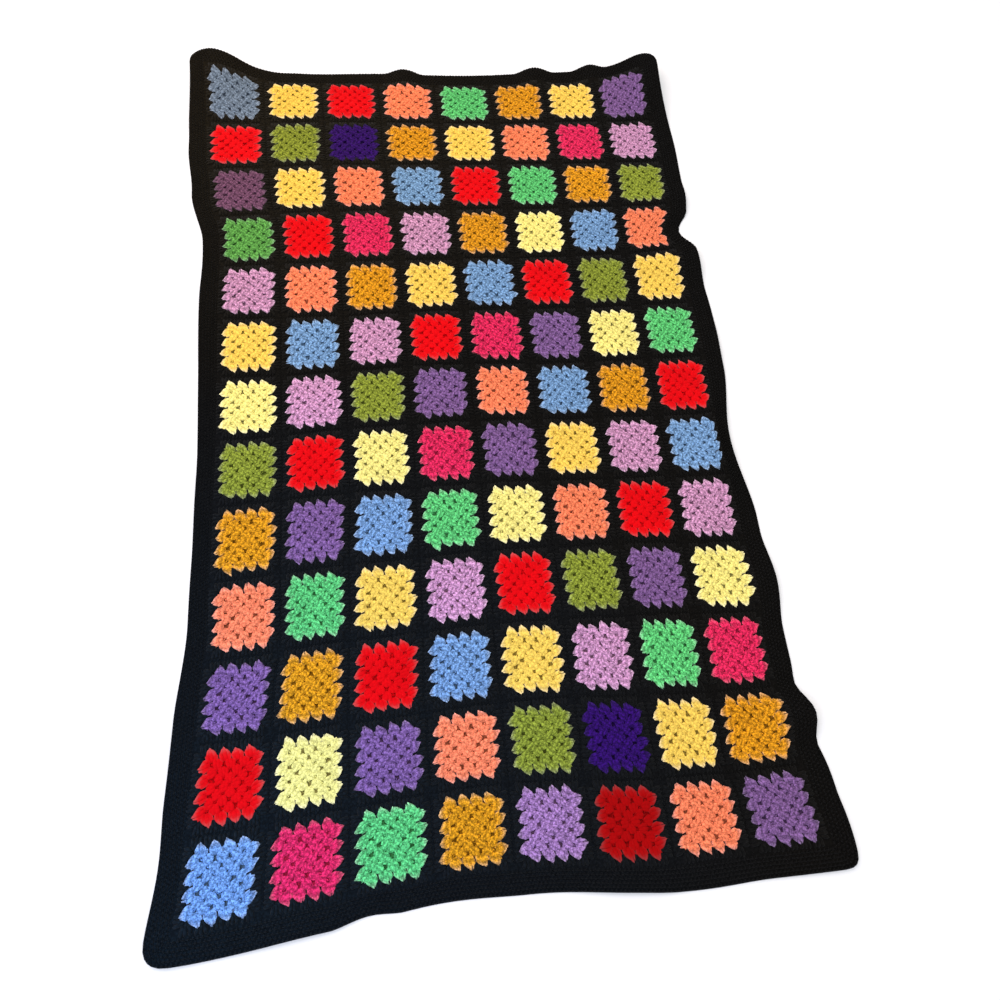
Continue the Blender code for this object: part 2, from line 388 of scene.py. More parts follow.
# How a stitch swells along its length: place along, share of its width, share of its height. The end is its
# tip: place along, share of its height.
POST_STATIONS = ((0.00, 0.58, 0.80), (0.28, 0.72, 0.97), (0.62, 0.98, 1.00), (0.90, 0.86, 0.95))
POST_END = (1.00, 0.70)
TOOTH_STATIONS = ((0.00, 0.60, 0.80), (0.28, 0.88, 0.97), (0.60, 1.00, 1.00), (0.90, 0.46, 0.94))
TOOTH_END = (1.00, 0.80)
TOOTH_HIGHLIGHT_FALLOFF = 6  # how fast the painted highlight along a tooth's edge fades inwards from it
BLACK_STATIONS = ((0.00, 0.75, 0.85), (0.42, 1.00, 1.00), (0.88, 0.95, 0.90))
BLACK_END = (1.00, 0.30)
EDGING_STATIONS = BLACK_STATIONS[:2]
STRAND_STATIONS = ((0.00, 0.30, 0.45), (0.50, 1.00, 1.00))
STRAND_END = (1.00, 0.35)

# Each stitch has its own cell on this map, with a margin round it.
YARN_MAP = "OFBake"
MAP_MARGIN = 0.04


class StitchShape:
    """One stitch, made once: its points, its faces and their places on the yarn's map.

    The points are x across, y along and z up. The falloff is how fast the painted highlight along a colour's
    edge fades from the stitch's head, and from its left or right side where side is -1 or 1. A falloff of 0
    highlights the whole stitch.
    """

    def __init__(self, section, stations, end, highlight_falloff=0, side=0):
        work = bmesh.new()
        turn = work.verts.layers.int.new("turn")
        ring = bmesh.ops.create_circle(work, cap_ends=True, segments=len(section), radius=1.0)["verts"]
        for number, vert in enumerate(ring):
            vert[turn] = number
        for place, width, height in stations:
            if place > 0.0:
                ring = self.extruded(work, ring)
            for vert in ring:
                x, z, _ = section[vert[turn]]
                vert.co = (x * width, place, z * height)
        tip = self.extruded(work, ring)
        bmesh.ops.pointmerge(work, verts=tip, merge_co=(0.0, end[0], end[1]))
        bmesh.ops.recalc_face_normals(work, faces=work.faces)
        work.verts.index_update()
        self.points = np.array([tuple(vert.co) for vert in work.verts])
        self.rim_highlight = np.array([max(side * section[vert[turn]][0], vert.co.y) ** highlight_falloff for vert in work.verts])
        self.faces = [[vert.index for vert in face.verts] for face in work.faces]
        self.maps = [self.face_map(face, section, turn, end[0]) for face in work.faces]
        work.free()

    @staticmethod
    def extruded(work, ring):
        """The new ring of points that a ring's edges are extruded to."""
        held = set(ring)
        edges = [edge for edge in work.edges if set(edge.verts) <= held]
        made = bmesh.ops.extrude_edge_only(work, edges=edges)["geom"]
        return [item for item in made if isinstance(item, bmesh.types.BMVert)]

    @staticmethod
    def face_map(face, section, turn, end):
        """Where each corner of the face falls on the map: across the yarn, then along it."""
        turns = {vert[turn] for vert in face.verts if vert.co.y < end}
        wraps = {0, len(section) - 1} <= turns
        across = {number: section[number][2] for number in turns}
        if wraps:
            across[0] = 1.0
        middle = sum(across.values()) / len(across)
        return [(across[vert[turn]] if vert.co.y < end else middle, vert.co.y) for vert in face.verts]


class Places:
    """Where the stitches of one shape go, a row for each: foot, bend and head on the plan, half width,
    underside, tops at foot and head, tone, and 1 where it is at the edge of a colour and takes the painted
    highlight."""

    def __init__(self):
        self.rows = []

    def add(self, foot, bend, head, half_width, low, foot_top, head_top, tone, edge=0.0):
        self.rows.append((*foot, *bend, *head, half_width, low, foot_top, head_top, tone, edge))

    def arrays(self):
        return np.array(self.rows, float)


def laid_stitches(shape, rows):
    """World points of every stitch, as an array of stitches, points and x, y, z."""
    along = shape.points[None, :, 1, None]
    foot, bend, head = rows[:, None, 0:2], rows[:, None, 2:4], rows[:, None, 4:6]
    centre = (1 - along) ** 2 * foot + 2 * along * (1 - along) * bend + along**2 * head
    way = 2 * (1 - along) * (bend - foot) + 2 * along * (head - bend)
    way = way / np.maximum(np.linalg.norm(way, axis=-1, keepdims=True), 1e-9)
    sideways = np.stack([way[..., 1], -way[..., 0]], axis=-1)
    plan = centre + sideways * shape.points[None, :, 0, None] * rows[:, None, 6, None]
    low, foot_top, head_top = rows[:, None, 7], rows[:, None, 8], rows[:, None, 9]
    high = foot_top + (head_top - foot_top) * along[..., 0]
    height = low + (high - low) * shape.points[None, :, 2]
    return laid(*rounded(plan[..., 0], plan[..., 1]), height * MM)


def stitched_piece(name, groups, material):
    """One mesh of many stitches. groups holds pairs of a shape and its rows.

    Each stitch has its own cell on the yarn's map. The colour attribute "stitch" says, for each point, how
    far along the stitch it is, how high on it, which sets its painted shade, the stitch's tone, and how
    strong the painted highlight is on it at the edge of a colour.
    """
    points, faces, maps, marks = [], [], [], []
    total = sum(len(rows) for _, rows in groups)
    cells = math.ceil(math.sqrt(total))
    first_point, first_cell = 0, 0
    for shape, rows in groups:
        count, size = len(rows), len(shape.points)
        points.append(laid_stitches(shape, rows).reshape(-1, 3))
        tone, rim_highlight = rows[:, None, 10], rows[:, None, 11] * shape.rim_highlight
        mark = np.broadcast_arrays(shape.points[:, 1], shape.points[:, 2], tone, rim_highlight)
        marks.append(np.stack(mark, axis=-1).reshape(-1, 4))
        starts = first_point + size * np.arange(count)[:, None]
        cell = first_cell + np.arange(count)
        corner = np.stack([cell % cells, cell // cells], axis=-1)[:, None, :]
        for face, face_map in zip(shape.faces, shape.maps):
            faces += (starts + np.array(face)).tolist()
            inner = MAP_MARGIN + (1.0 - 2.0 * MAP_MARGIN) * np.array(face_map)
            maps.append(((corner + inner) / cells).reshape(-1, 2))
        first_point += size * count
        first_cell += count
    mesh = bpy.data.meshes.new(name)
    mesh.from_pydata(np.concatenate(points), [], faces)
    mesh.uv_layers.new(name=YARN_MAP).data.foreach_set("uv", np.concatenate(maps).ravel())
    marked = mesh.color_attributes.new("stitch", "FLOAT_COLOR", "POINT")
    marked.data.foreach_set("color", np.concatenate(marks).ravel())
    mesh.shade_smooth()
    mesh.materials.append(material(cells))
    piece = placed(name, mesh)
    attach(piece, ROOT)
    return piece


def placed(name, data):
    """A new object of this data, put in the scene."""
    made = bpy.data.objects.new(name, data)
    bpy.context.collection.objects.link(made)
    return made


def mesh_from(work, name):
    """The mesh of a bmesh, which is then done with."""
    mesh = bpy.data.meshes.new(name)
    work.to_mesh(mesh)
    work.free()
    return mesh


# ----------------------------------------
# Materials


def node(tree, kind, sockets=None, **properties):
    """Adds a node. sockets says, for each of its inputs, the value it has or the output that feeds it."""
    made = tree.nodes.new(kind)
    for name, value in properties.items():
        setattr(made, name, value)
    for key, value in (sockets or {}).items():
        if isinstance(value, bpy.types.NodeSocket):
            tree.links.new(value, made.inputs[key])
        else:
            made.inputs[key].default_value = value
    return made


def new_material(name, roughness, specular=0.5):
    """A material with a Principled shader of this roughness, and that shader."""
    material = bpy.data.materials.new(name)
    material.use_nodes = True
    tree = material.node_tree
    tree.nodes.clear()
    shader = node(tree, "ShaderNodeBsdfPrincipled", {"Roughness": roughness, "Metallic": 0.0, "IOR": 1.5})
    shader.inputs["Specular IOR Level"].default_value = specular
    node(tree, "ShaderNodeOutputMaterial", {"Surface": shader.outputs["BSDF"]})
    return material, tree, shader


def ramp(tree, value, start, end, low=0.0, high=1.0):
    """A number that goes from start to end as the value goes from low to high, and no further."""
    limits = {"From Min": low, "From Max": high, "To Min": start, "To Max": end}
    return node(tree, "ShaderNodeMapRange", {"Value": value, **limits}).outputs[0]


def varied(tree, value, shares, amount=1.0, between=(0.0, 1.0)):
    """A factor from 1 less the first share to 1 more the second, as the value goes between two numbers."""
    darker, lighter = shares
    return ramp(tree, value, 1.0 - darker * amount, 1.0 + lighter * amount, *between)


def product(tree, value, other):
    """The two numbers multiplied."""
    return node(tree, "ShaderNodeMath", {0: value, 1: other}, operation="MULTIPLY").outputs[0]


def mixed(tree, colour, other, share):
    """The colour at this share of the way from one to another."""
    sockets = {"Factor": share, 6: colour, 7: (*other, 1.0)}
    return node(tree, "ShaderNodeMix", sockets, data_type="RGBA").outputs[2]


def spots(tree, place, size_mm):
    """Noise with spots of this size."""
    noise = {"Vector": place, "Scale": 1.0 / (size_mm * MM), "Detail": 2.0}
    return node(tree, "ShaderNodeTexNoise", noise).outputs["Fac"]


def set_colour(tree, shader, colour, shade):
    """Gives the surface a colour, times a shade."""
    shaded = node(tree, "ShaderNodeVectorMath", {0: colour, "Scale": shade}, operation="SCALE")
    tree.links.new(shaded.outputs[0], shader.inputs["Base Color"])


def set_bump(tree, shader, height, strength, depth_mm):
    """Gives the surface a relief of this depth."""
    bump = node(tree, "ShaderNodeBump", {"Strength": strength, "Distance": depth_mm * MM, "Height": height})
    tree.links.new(bump.outputs["Normal"], shader.inputs["Normal"])


PLY_TURNS_ALONG = 4  # twists of the plied yarn along one double crochet, about 4 mm apart
PLY_TURNS_ACROSS = 1
PLY_DISTORTION = 0.6
WAVE_PERIOD = 0.314  # a band texture's own spacing at scale 1
FUZZ_MM = 2.3  # size of the tufts of loose fibre
HEATHER_MM = 45.0  # size of the slow changes of shade over the cloth
FOOT_MM = 4.0  # size of the stitches' feet
YARN_SPECULAR = 0.08  # fibres scatter nearly all the light
SHADED_LOW_PART = 0.7  # painted shade: a stitch is darker below this share of its height, where its neighbours would shade it

# What darkens and lightens a yarn, and the shares by which it does each.
TONE_SHARES = (0.14, 0.10)  # a stitch's own tone
PLY_SHADE_SHARES = (0.30, 0.13)  # painted shade in the grooves and on the backs of its plies, painted light on their crests
FUZZ_SHARES = (0.33, 0.34)
HEATHER_SHARES = (0.06, 0.05)
# The part of a noise's values that it mostly keeps to, for the fuzz and the heather.
FUZZ_VALUES = (0.38, 0.62)
HEATHER_VALUES = (0.3, 0.7)
FUZZ_RELIEF = 0.4  # of the relief of the plies

# Painted light: a cool light over the near left of the cloth and a warm one over its far end. For each
# place:
# how far from it the painted light reaches, and what it does there to the red, green and blue of a yarn.
PAINTED_COOL_LIGHT = ((-0.55, -0.90, 0.0), 1.0, (0.84, 1.05, 1.52))
PAINTED_WARM_LIGHT = ((-0.40, 0.90, 0.0), 0.9, (1.00, 0.93, 0.78))
GREYED = 0.6  # how far the painted highlight along a colour's edges takes the yarn's colour towards grey
GREY_LIFT = 1.5  # how much lighter that grey of the painted highlight is than the yarn
LUMINANCE = (0.2126, 0.7152, 0.0722)  # of red, green and blue


def yarn_material(name, colour, cells, texture=1.0, depth=0.18, pale=0.75, sheen=0.12, painted_light_tints=()):
    """Plied acrylic yarn, spun soft and a little fuzzy with use: matt, with a painted highlight along its
    edges.

    texture is how much the plies and the fuzz show, depth is how dark the painted shade at the foot of a
    stitch is, and pale how strong the painted highlight along its exposed edges is, greyed as its fuzz would
    be. The last argument is its colour under the painted cool light and under the painted warm light, if
    that isn't the usual change of its own colour.
    """
    material, tree, shader = new_material(name, roughness=0.88, specular=YARN_SPECULAR)
    shader.inputs["Sheen Weight"].default_value = sheen
    shader.inputs["Sheen Roughness"].default_value = 0.45
    shader.inputs["Sheen Tint"].default_value = (*[0.1 + 0.9 * c for c in colour], 1.0)
    place = node(tree, "ShaderNodeTexCoord").outputs["Object"]
    mark = node(tree, "ShaderNodeAttribute", attribute_name="stitch")
    parts = node(tree, "ShaderNodeSeparateColor", {"Color": mark.outputs["Color"]})
    uv = node(tree, "ShaderNodeUVMap", uv_map=YARN_MAP)
    twist = (cells * PLY_TURNS_ACROSS * WAVE_PERIOD, cells * PLY_TURNS_ALONG * WAVE_PERIOD, 1.0)
    twisted = node(tree, "ShaderNodeMapping", {"Vector": uv.outputs["UV"], "Scale": twist})
    waves = {"Vector": twisted.outputs["Vector"], "Scale": 1.0, "Distortion": PLY_DISTORTION, "Detail": 1.0}
    ply = node(tree, "ShaderNodeTexWave", waves, bands_direction="DIAGONAL").outputs["Fac"]
    fuzz, heather = spots(tree, place, FUZZ_MM), spots(tree, place, HEATHER_MM)

    # Shade: painted shade on the stitch's low parts and in the grooves of the ply, its own tone, the fuzz
    # and the slow changes.
    uneven = min(1.0, texture)
    shade = ramp(tree, parts.outputs["Green"], 1.0 - depth * uneven, 1.0, high=SHADED_LOW_PART)
    shade = product(tree, shade, varied(tree, parts.outputs["Blue"], TONE_SHARES, uneven))
    shade = product(tree, shade, varied(tree, ply, PLY_SHADE_SHARES, texture))
    shade = product(tree, shade, varied(tree, fuzz, FUZZ_SHARES, texture, FUZZ_VALUES))
    shade = product(tree, shade, varied(tree, heather, HEATHER_SHARES, between=HEATHER_VALUES))

    # Colour: the yarn's, tinted by the painted cool and warm light over the cloth, and paler with the
    # painted highlight along a colour's edges.
    changes = (PAINTED_COOL_LIGHT, PAINTED_WARM_LIGHT)
    painted_light_tints = painted_light_tints or [[min(1.0, c * factor) for c, factor in zip(colour, factors)] for *_, factors in changes]
    yarn = (*colour, 1.0)
    for (centre, reach, _), there in zip(changes, painted_light_tints):
        away = node(tree, "ShaderNodeVectorMath", {0: place, 1: centre}, operation="DISTANCE")
        share = ramp(tree, away.outputs["Value"], start=1.0, end=0.0, high=reach)
        yarn = mixed(tree, yarn, there, share)
    grey = min(1.0, GREY_LIFT * sum(weight * c for weight, c in zip(LUMINANCE, colour)))
    rim_highlight = [(1.0 - GREYED) * c + GREYED * grey for c in colour]
    set_colour(tree, shader, mixed(tree, yarn, rim_highlight, product(tree, mark.outputs["Alpha"], pale)), shade)

    relief = node(tree, "ShaderNodeMath", {0: fuzz, 1: FUZZ_RELIEF, 2: ply}, operation="MULTIPLY_ADD")
    set_bump(tree, shader, relief.outputs[0], strength=0.6, depth_mm=0.5)
    return material


def light_tinted_black(plan):
    """The black yarn's colour at this place of the plan, tinted by the painted cool and warm light."""
    yarns = settings().yarns
    colour = Vector(yarns.black)
    for (centre, reach, _), there in zip((PAINTED_COOL_LIGHT, PAINTED_WARM_LIGHT), (yarns.blue_black, yarns.brown_black)):
        share = max(0.0, 1.0 - (Vector(plan) - Vector(centre[:2])).length / reach)
        colour = colour.lerp(Vector(there), share)
    return colour


def black_material(cells):
    """The same yarn in black: the dye takes nearly all the light, and a little fuzz greys it. Its painted
    shade at a stitch's foot is deeper, and its painted cool and warm light has blacks of its own.
    """
    yarns = settings().yarns
    return yarn_material("black acrylic yarn", yarns.black, cells, depth=0.3, pale=0.02, sheen=0.35,
                         painted_light_tints=(yarns.blue_black, yarns.brown_black))


def ground_material():
    """Crochet deep between the stitches in painted shade: each square's yarn darkened, and painted darker
    still between the bumps of stitches' feet.
    """
    material, tree, shader = new_material("acrylic crochet ground", roughness=0.95, specular=YARN_SPECULAR)
    place = node(tree, "ShaderNodeTexCoord").outputs["Object"]
    feet = node(tree, "ShaderNodeTexVoronoi", {"Vector": place, "Scale": 1.0 / (FOOT_MM * MM)})
    shade = ramp(tree, feet.outputs["Distance"], start=1.0, end=0.4, high=0.7)
    yarn = node(tree, "ShaderNodeAttribute", attribute_name="yarn")
    set_colour(tree, shader, yarn.outputs["Color"], shade)
    set_bump(tree, shader, shade, strength=0.7, depth_mm=0.8)
    return material


def floor_material(colour):
    """Matt white paint: even, with the faintest mottle."""
    material, tree, shader = new_material("matt white floor paint", roughness=0.9)
    place = node(tree, "ShaderNodeTexCoord").outputs["Object"]
    mottle = node(tree, "ShaderNodeTexNoise", {"Vector": place, "Scale": 3.0})
    set_colour(tree, shader, tuple(colour), ramp(tree, mottle.outputs["Fac"], start=0.985, end=1.0))
    return material


# ----------------------------------------
# The pieces

SEED = 13
SIDES = 4

# A stitch's tone is from 0, dark, to 1, light.
SQUARE_TONES = (0.35, 0.65)
STITCH_TONES = (0.3, 0.7)  # of the joins and the edging
BLACK_TONE = 0.5
TONE_SPREAD = 0.14  # between the stitches of a square
# How uneven a cluster's points and heights are, as shares of how far whole clusters stray.
POINT_STRAY = 0.4
HEIGHT_STRAY = 0.5

# The ground's cells: for each square, how many of those are black at each side of it, and across the edging.
GROUND_CELLS = 10
GROUND_BLACK_CELLS = 2
GROUND_EDGING_CELLS = 3
GROUND_BLACK = 1.3  # how much lighter the black is made there, for the shade it is in

# A stitch of a join: how far it reaches over the join and slants along it, its half width, how far its
# points stray, and how uneven its height is.
JOIN_REACH = 0.0030
JOIN_SLANT = 0.0014
JOIN_HALF_WIDTH = 0.0011
JOIN_STRAY = 0.0004
JOIN_UNEVEN = 0.05

EDGING_ROUNDS = 6
# The edging's sides: half a length, and the place for x along the side and y out from the squares.
EDGING_SIDES = (
    (HALF_LENGTH, lambda x, y: (HALF_WIDTH + y, x)),
    (HALF_WIDTH, lambda x, y: (-x, HALF_LENGTH + y)),
    (HALF_LENGTH, lambda x, y: (-HALF_WIDTH - y, -x)),
    (HALF_WIDTH, lambda x, y: (x, -HALF_LENGTH - y)),
)
# A single crochet: the foot, bend and head of its post, and of the link of chain along its head. x is in
# stitches and y in rounds.
EDGING_POST = ((0.0, 0.02), (0.0, 0.4), (0.2, 0.78))
EDGING_LINK = ((-0.55, 0.62), (0.0, 0.66), (0.55, 0.86))
EDGING_POST_WIDTH = 0.36  # half of it, in stitches
EDGING_LINK_WIDTH = 0.19  # half of it, in rounds
EDGING_POST_TOP = 0.86  # of the link's
EDGING_LINK_FOOT = 0.35 * EDGING_TOP
EDGING_STRAY = 0.00025
EDGING_UNEVEN = 0.04
EDGING_START = 0.25  # of a stitch from the corner, and half a stitch more in every other round

# The stage.
FLOOR_HALF = 6.0
FLOOR_DROP = 0.0002  # keeps it clear of the cloth's underside
FLOOR_COLOUR = "#F4F4F2"
ROOM_COLOUR = "#FAFBFF"
# The lights: name, colour, the side of its square and its place. Each looks at the blanket's middle.
LIGHTS = (
    ("window", "#FFEBE0", 3.0, (-1.6, 1.6, 2.6)),
    ("sky", "#A9C6FF", 1.5, (-1.6, -1.2, 1.4)),
)
CAMERA_LENS = 27.25
CAMERA_SENSOR = 36.0
CAMERA_PLACE = (-0.1380, -0.7398, 1.308)
CAMERA_RIGHT = (0.99003, -0.10715, 0.09144)
CAMERA_UP = (0.06550, 0.92488, 0.37457)


def ground_line(share, half, squares):
    """Where a line of the ground's grid lies on the plan, from its share of the grid, -0.5 to 0.5."""
    inner = squares * GROUND_CELLS
    whole = inner + 2 * GROUND_EDGING_CELLS
    stops = (0, GROUND_EDGING_CELLS, GROUND_EDGING_CELLS + inner, whole)
    outer = half + EDGING_WIDTH
    return np.interp((share + 0.5) * whole, stops, (-outer, -half, half, outer))


def looking(place, target):
    """A matrix that puts an object at the place, looking at the target."""
    return Matrix.Translation(place) @ (target - place).to_track_quat("-Z", "Y").to_matrix().to_4x4()


def turned(point, side):
    """The point of a square's top side, on its top, left, bottom or right side."""
    x, y = point
    return ((x, y), (-y, x), (-x, -y), (y, -x))[side]


def clusters(round_number):
    """The gap and side of each cluster of a round: x along the side, y outwards, in rounds."""
    for side in range(SIDES):
        for gap in range(1 - round_number, round_number, 2):
            yield gap, round_number - 1, side


def square_centre(column, row):
    """The middle of a square on the plan. Row 0 is the far one."""
    s = (column + 0.5) * SQUARE_WIDTH - HALF_WIDTH
    return s, HALF_LENGTH - (row + 0.5) * SQUARE_LENGTH


def add_cluster(places, stitches, cluster, centre, low, tone, random, uneven, edge=0.0):
    """Adds a cluster's stitches, from a table of them, to the places."""
    gap, out, side = cluster
    scale_s, scale_t = SQUARE_WIDTH / ROUNDS_ACROSS, SQUARE_LENGTH / ROUNDS_ACROSS
    shift = random.normal(0.0, uneven, 2)
    for stitch in stitches:
        points = []
        for x, y in (stitch[0:2], stitch[2:4], stitch[4:6]):
            wobble = shift + random.normal(0.0, POINT_STRAY * uneven, 2)
            u, v = turned((gap + x + wobble[0] * y, out + y + wobble[1] * y), side)
            points.append((centre[0] + u * scale_s, centre[1] + v * scale_t))
        half_width = stitch[6] * scale_s * (1.0 + random.normal(0.0, uneven))
        raised = 1.0 + random.normal(0.0, HEIGHT_STRAY * uneven)
        foot_top, head_top = stitch[7] * raised, stitch[8] * raised
        shade = np.clip(tone + random.normal(0.0, TONE_SPREAD), 0.0, 1.0)
        places.add(*points, half_width, low, foot_top, head_top, shade, edge)


def layout_rows():
    """The yarn of each square, row by row from the far end."""
    return [line.split() for line in LAYOUT.strip().splitlines()]


def settings():
    """The blanket's settings."""
    return bpy.context.scene.granny_blanket


class BlanketSizes(bpy.types.PropertyGroup):
    """Sizes of the stitches."""

    uneven: FloatProperty(
        name="Unevenness", description="How much stitches differ, as a share of a round",
        default=0.045, min=0.0, max=0.2)
    join_spacing: FloatProperty(
        name="Join spacing", description="Between the stitches that join two squares",
        default=0.0055, min=0.003, unit="LENGTH")
    edging_stitch: FloatProperty(
        name="Edging stitch", description="Length of one stitch of the edging",
        default=0.0066, min=0.004, unit="LENGTH")


def colour_property(name, description, colour):
    return FloatVectorProperty(
        name=name, description=description, subtype="COLOR", size=3, min=0.0, max=1.0,
        default=linear(colour))


class BlanketYarns(bpy.types.PropertyGroup):
    """Colours of the yarns."""

    black: colour_property("Black", "Yarn of the last rounds, joins and edging", BLACK_YARN)
    # Blue black and brown black are the black under the painted cool light of the near left and the painted
    # warm light of the far end.
    blue_black: colour_property("Blue black", "The black where the cloth has stayed cool", BLUE_BLACK)
    brown_black: colour_property("Brown black", "The black where the cloth has turned warm", BROWN_BLACK)
    __annotations__.update({
        yarn: colour_property(yarn.capitalize(), f"Yarn of the {yarn} squares", colour)
        for yarn, colour in YARNS.items()})


class BlanketStage(bpy.types.PropertyGroup):
    """The floor and the lights."""

    floor: colour_property("Floor", "Colour of the floor", FLOOR_COLOUR)
    window: FloatProperty(
        name="Window light", description="Power of the large warm light",
        default=62.0, min=0.0, subtype="POWER")
    sky: FloatProperty(
        name="Sky light", description="Power of the small cool light",
        default=14.0, min=0.0, subtype="POWER")
    room: FloatProperty(
        name="Room light", description="Strength of the light from all round", default=1.0, min=0.0)


class GrannyBlanketSettings(bpy.types.PropertyGroup):
    """Everything that can be changed on the blanket."""

    sizes: PointerProperty(type=BlanketSizes)
    yarns: PointerProperty(type=BlanketYarns)
    stage: PointerProperty(type=BlanketStage)


def needed(name):
    """A piece made by an earlier operator."""
    if name not in bpy.data.objects:
        raise RuntimeError(f"{name} is made first")
    return bpy.data.objects[name]


class MakeGround(bpy.types.Operator):
    """The thin cloth under the stitches, its top darkened from each yarn as painted shade: what shows
    through their holes
    """

    bl_idname = "blanket.make_ground"
    bl_label = "Ground"

    def execute(self, context):
        work = bmesh.new()
        across = COLUMNS * GROUND_CELLS + 2 * GROUND_EDGING_CELLS
        along = ROWS * GROUND_CELLS + 2 * GROUND_EDGING_CELLS
        bmesh.ops.create_grid(work, x_segments=across, y_segments=along, size=0.5)
        yarn, rows = work.faces.layers.float_color.new("yarn"), layout_rows()
        for face in work.faces:
            middle = face.calc_center_median()
            cell = (int((middle.x + 0.5) * across), int((middle.y + 0.5) * along))
            plan = (2.0 * OUTER_WIDTH * middle.x, 2.0 * OUTER_LENGTH * middle.y)
            face[yarn] = self.yarn_over(rows, plan, *cell)
        under = list(work.verts)
        plans = np.array([(vert.co.x, vert.co.y) for vert in under])
        s = ground_line(plans[:, 0], HALF_WIDTH, COLUMNS)
        t = ground_line(plans[:, 1], HALF_LENGTH, ROWS)
        bmesh.ops.recalc_face_normals(work, faces=work.faces)
        made = bmesh.ops.extrude_face_region(work, geom=list(work.faces), use_keep_orig=True)["geom"]
        over = [item for item in made if isinstance(item, bmesh.types.BMVert)]
        # The top, seen through the holes, is darkened to the painted shade; the underside keeps the yarn's
        # own colour.
        for face in (item for item in made if isinstance(item, bmesh.types.BMFace)):
            face[yarn] = face[yarn] * face[yarn].w
        place = {(vert.co.x, vert.co.y): number for number, vert in enumerate(under)}
        s, t = rounded(s, t)
        low, high = laid(s, t, 0.0), laid(s, t, GROUND_TOP * MM)
        for vert in over:
            vert.co = high[place[(vert.co.x, vert.co.y)]]
        for vert, co in zip(under, low):
            vert.co = co
        bmesh.ops.recalc_face_normals(work, faces=work.faces)
        mesh = mesh_from(work, "ground")
        mesh.shade_smooth()
        mesh.materials.append(ground_material())
        ground = placed("ground", mesh)
        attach(ground, ROOT)
        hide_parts("squares_panel")
        return {"FINISHED"}

    @staticmethod
    def yarn_over(rows, plan, cell_s, cell_t):
        """The colour of the yarn over a cell, counted from the near left, and the share of it that the
        painted shade on the ground's top keeps.
        """
        column, cell_s = divmod(cell_s - GROUND_EDGING_CELLS, GROUND_CELLS)
        row, cell_t = divmod(cell_t - GROUND_EDGING_CELLS, GROUND_CELLS)
        coloured = range(GROUND_BLACK_CELLS, GROUND_CELLS - GROUND_BLACK_CELLS)
        if column in range(COLUMNS) and row in range(ROWS) and cell_s in coloured and cell_t in coloured:
            yarn = rows[ROWS - 1 - row][column]
            return (*getattr(settings().yarns, yarn), CLEAR_YARNS.get(yarn, PAINTED_GROUND_SHADE))
        return (*[GROUND_BLACK * c for c in light_tinted_black(plan)], 1.0)


class MakeSquares(bpy.types.Operator):
    """The coloured rounds of the squares, one piece for each yarn"""

    bl_idname = "blanket.make_squares"
    bl_label = "Coloured squares"

    def execute(self, context):
        random = np.random.default_rng(SEED)
        uneven = settings().sizes.uneven
        posts, teeth, rims = [{yarn: Places() for yarn in YARNS} for _ in range(3)]
        for row, yarns in enumerate(layout_rows()):
            for column, yarn in enumerate(yarns):
                centre, tone = square_centre(column, row), random.uniform(*SQUARE_TONES)

                def add(kind, stitches, cluster, low, edge=0.0):
                    add_cluster(kind[yarn], stitches, cluster, centre, low, tone, random, uneven, edge)

                for number in range(1, COLOURED_ROUNDS + 1):
                    for cluster in clusters(number):
                        if number == COLOURED_ROUNDS:
                            # The teeth carry the painted highlight along their edges.
                            add(teeth, LAST_CLUSTER, cluster, POST_FOOT, edge=1.0)
                        else:
                            add(posts, CLUSTER, cluster, POST_FOOT)
                            add(rims, CLUSTER_RIM, cluster, RIM_FOOT)
                    for side in range(SIDES):
                        add(rims, CORNER_CHAIN, (number - 1, number - 1, side), POST_FOOT)
        post = StitchShape(GROOVED, POST_STATIONS, POST_END)
        strand = StitchShape(RIDGED, STRAND_STATIONS, STRAND_END)
        tooth = [StitchShape(GROOVED, TOOTH_STATIONS, TOOTH_END, TOOTH_HIGHLIGHT_FALLOFF, side) for side in (-1, 0, 1)]
        for yarn in YARNS:
            groups = [(post, posts[yarn].arrays()), (strand, rims[yarn].arrays())]
            rows = teeth[yarn].arrays()
            groups += [(shape, rows[place :: len(tooth)]) for place, shape in enumerate(tooth)]
            colour, texture = getattr(settings().yarns, yarn), SMOOTH_YARNS.get(yarn, TEXTURE)
            piece = stitched_piece(
                f"squares_{yarn}", groups,
                lambda cells: yarn_material(f"{yarn} acrylic yarn", colour, cells, texture))
        return {"FINISHED"}


class MakeBlackRounds(bpy.types.Operator):
    """The black last round of every square"""

    bl_idname = "blanket.make_black_rounds"
    bl_label = "Black rounds"

    def execute(self, context):
        random = np.random.default_rng(SEED + 1)
        uneven = settings().sizes.uneven
        places = Places()
        for row in range(ROWS):
            for column in range(COLUMNS):
                centre = square_centre(column, row)
                for cluster in clusters(BLACK_ROUND):
                    add_cluster(
                        places, BLACK_CLUSTER, cluster, centre, BLACK_FOOT, BLACK_TONE, random, uneven)
        post = StitchShape(ROUNDED, BLACK_STATIONS, BLACK_END)
        piece = stitched_piece("black_rounds", ((post, places.arrays()),), black_material)
        return {"FINISHED"}


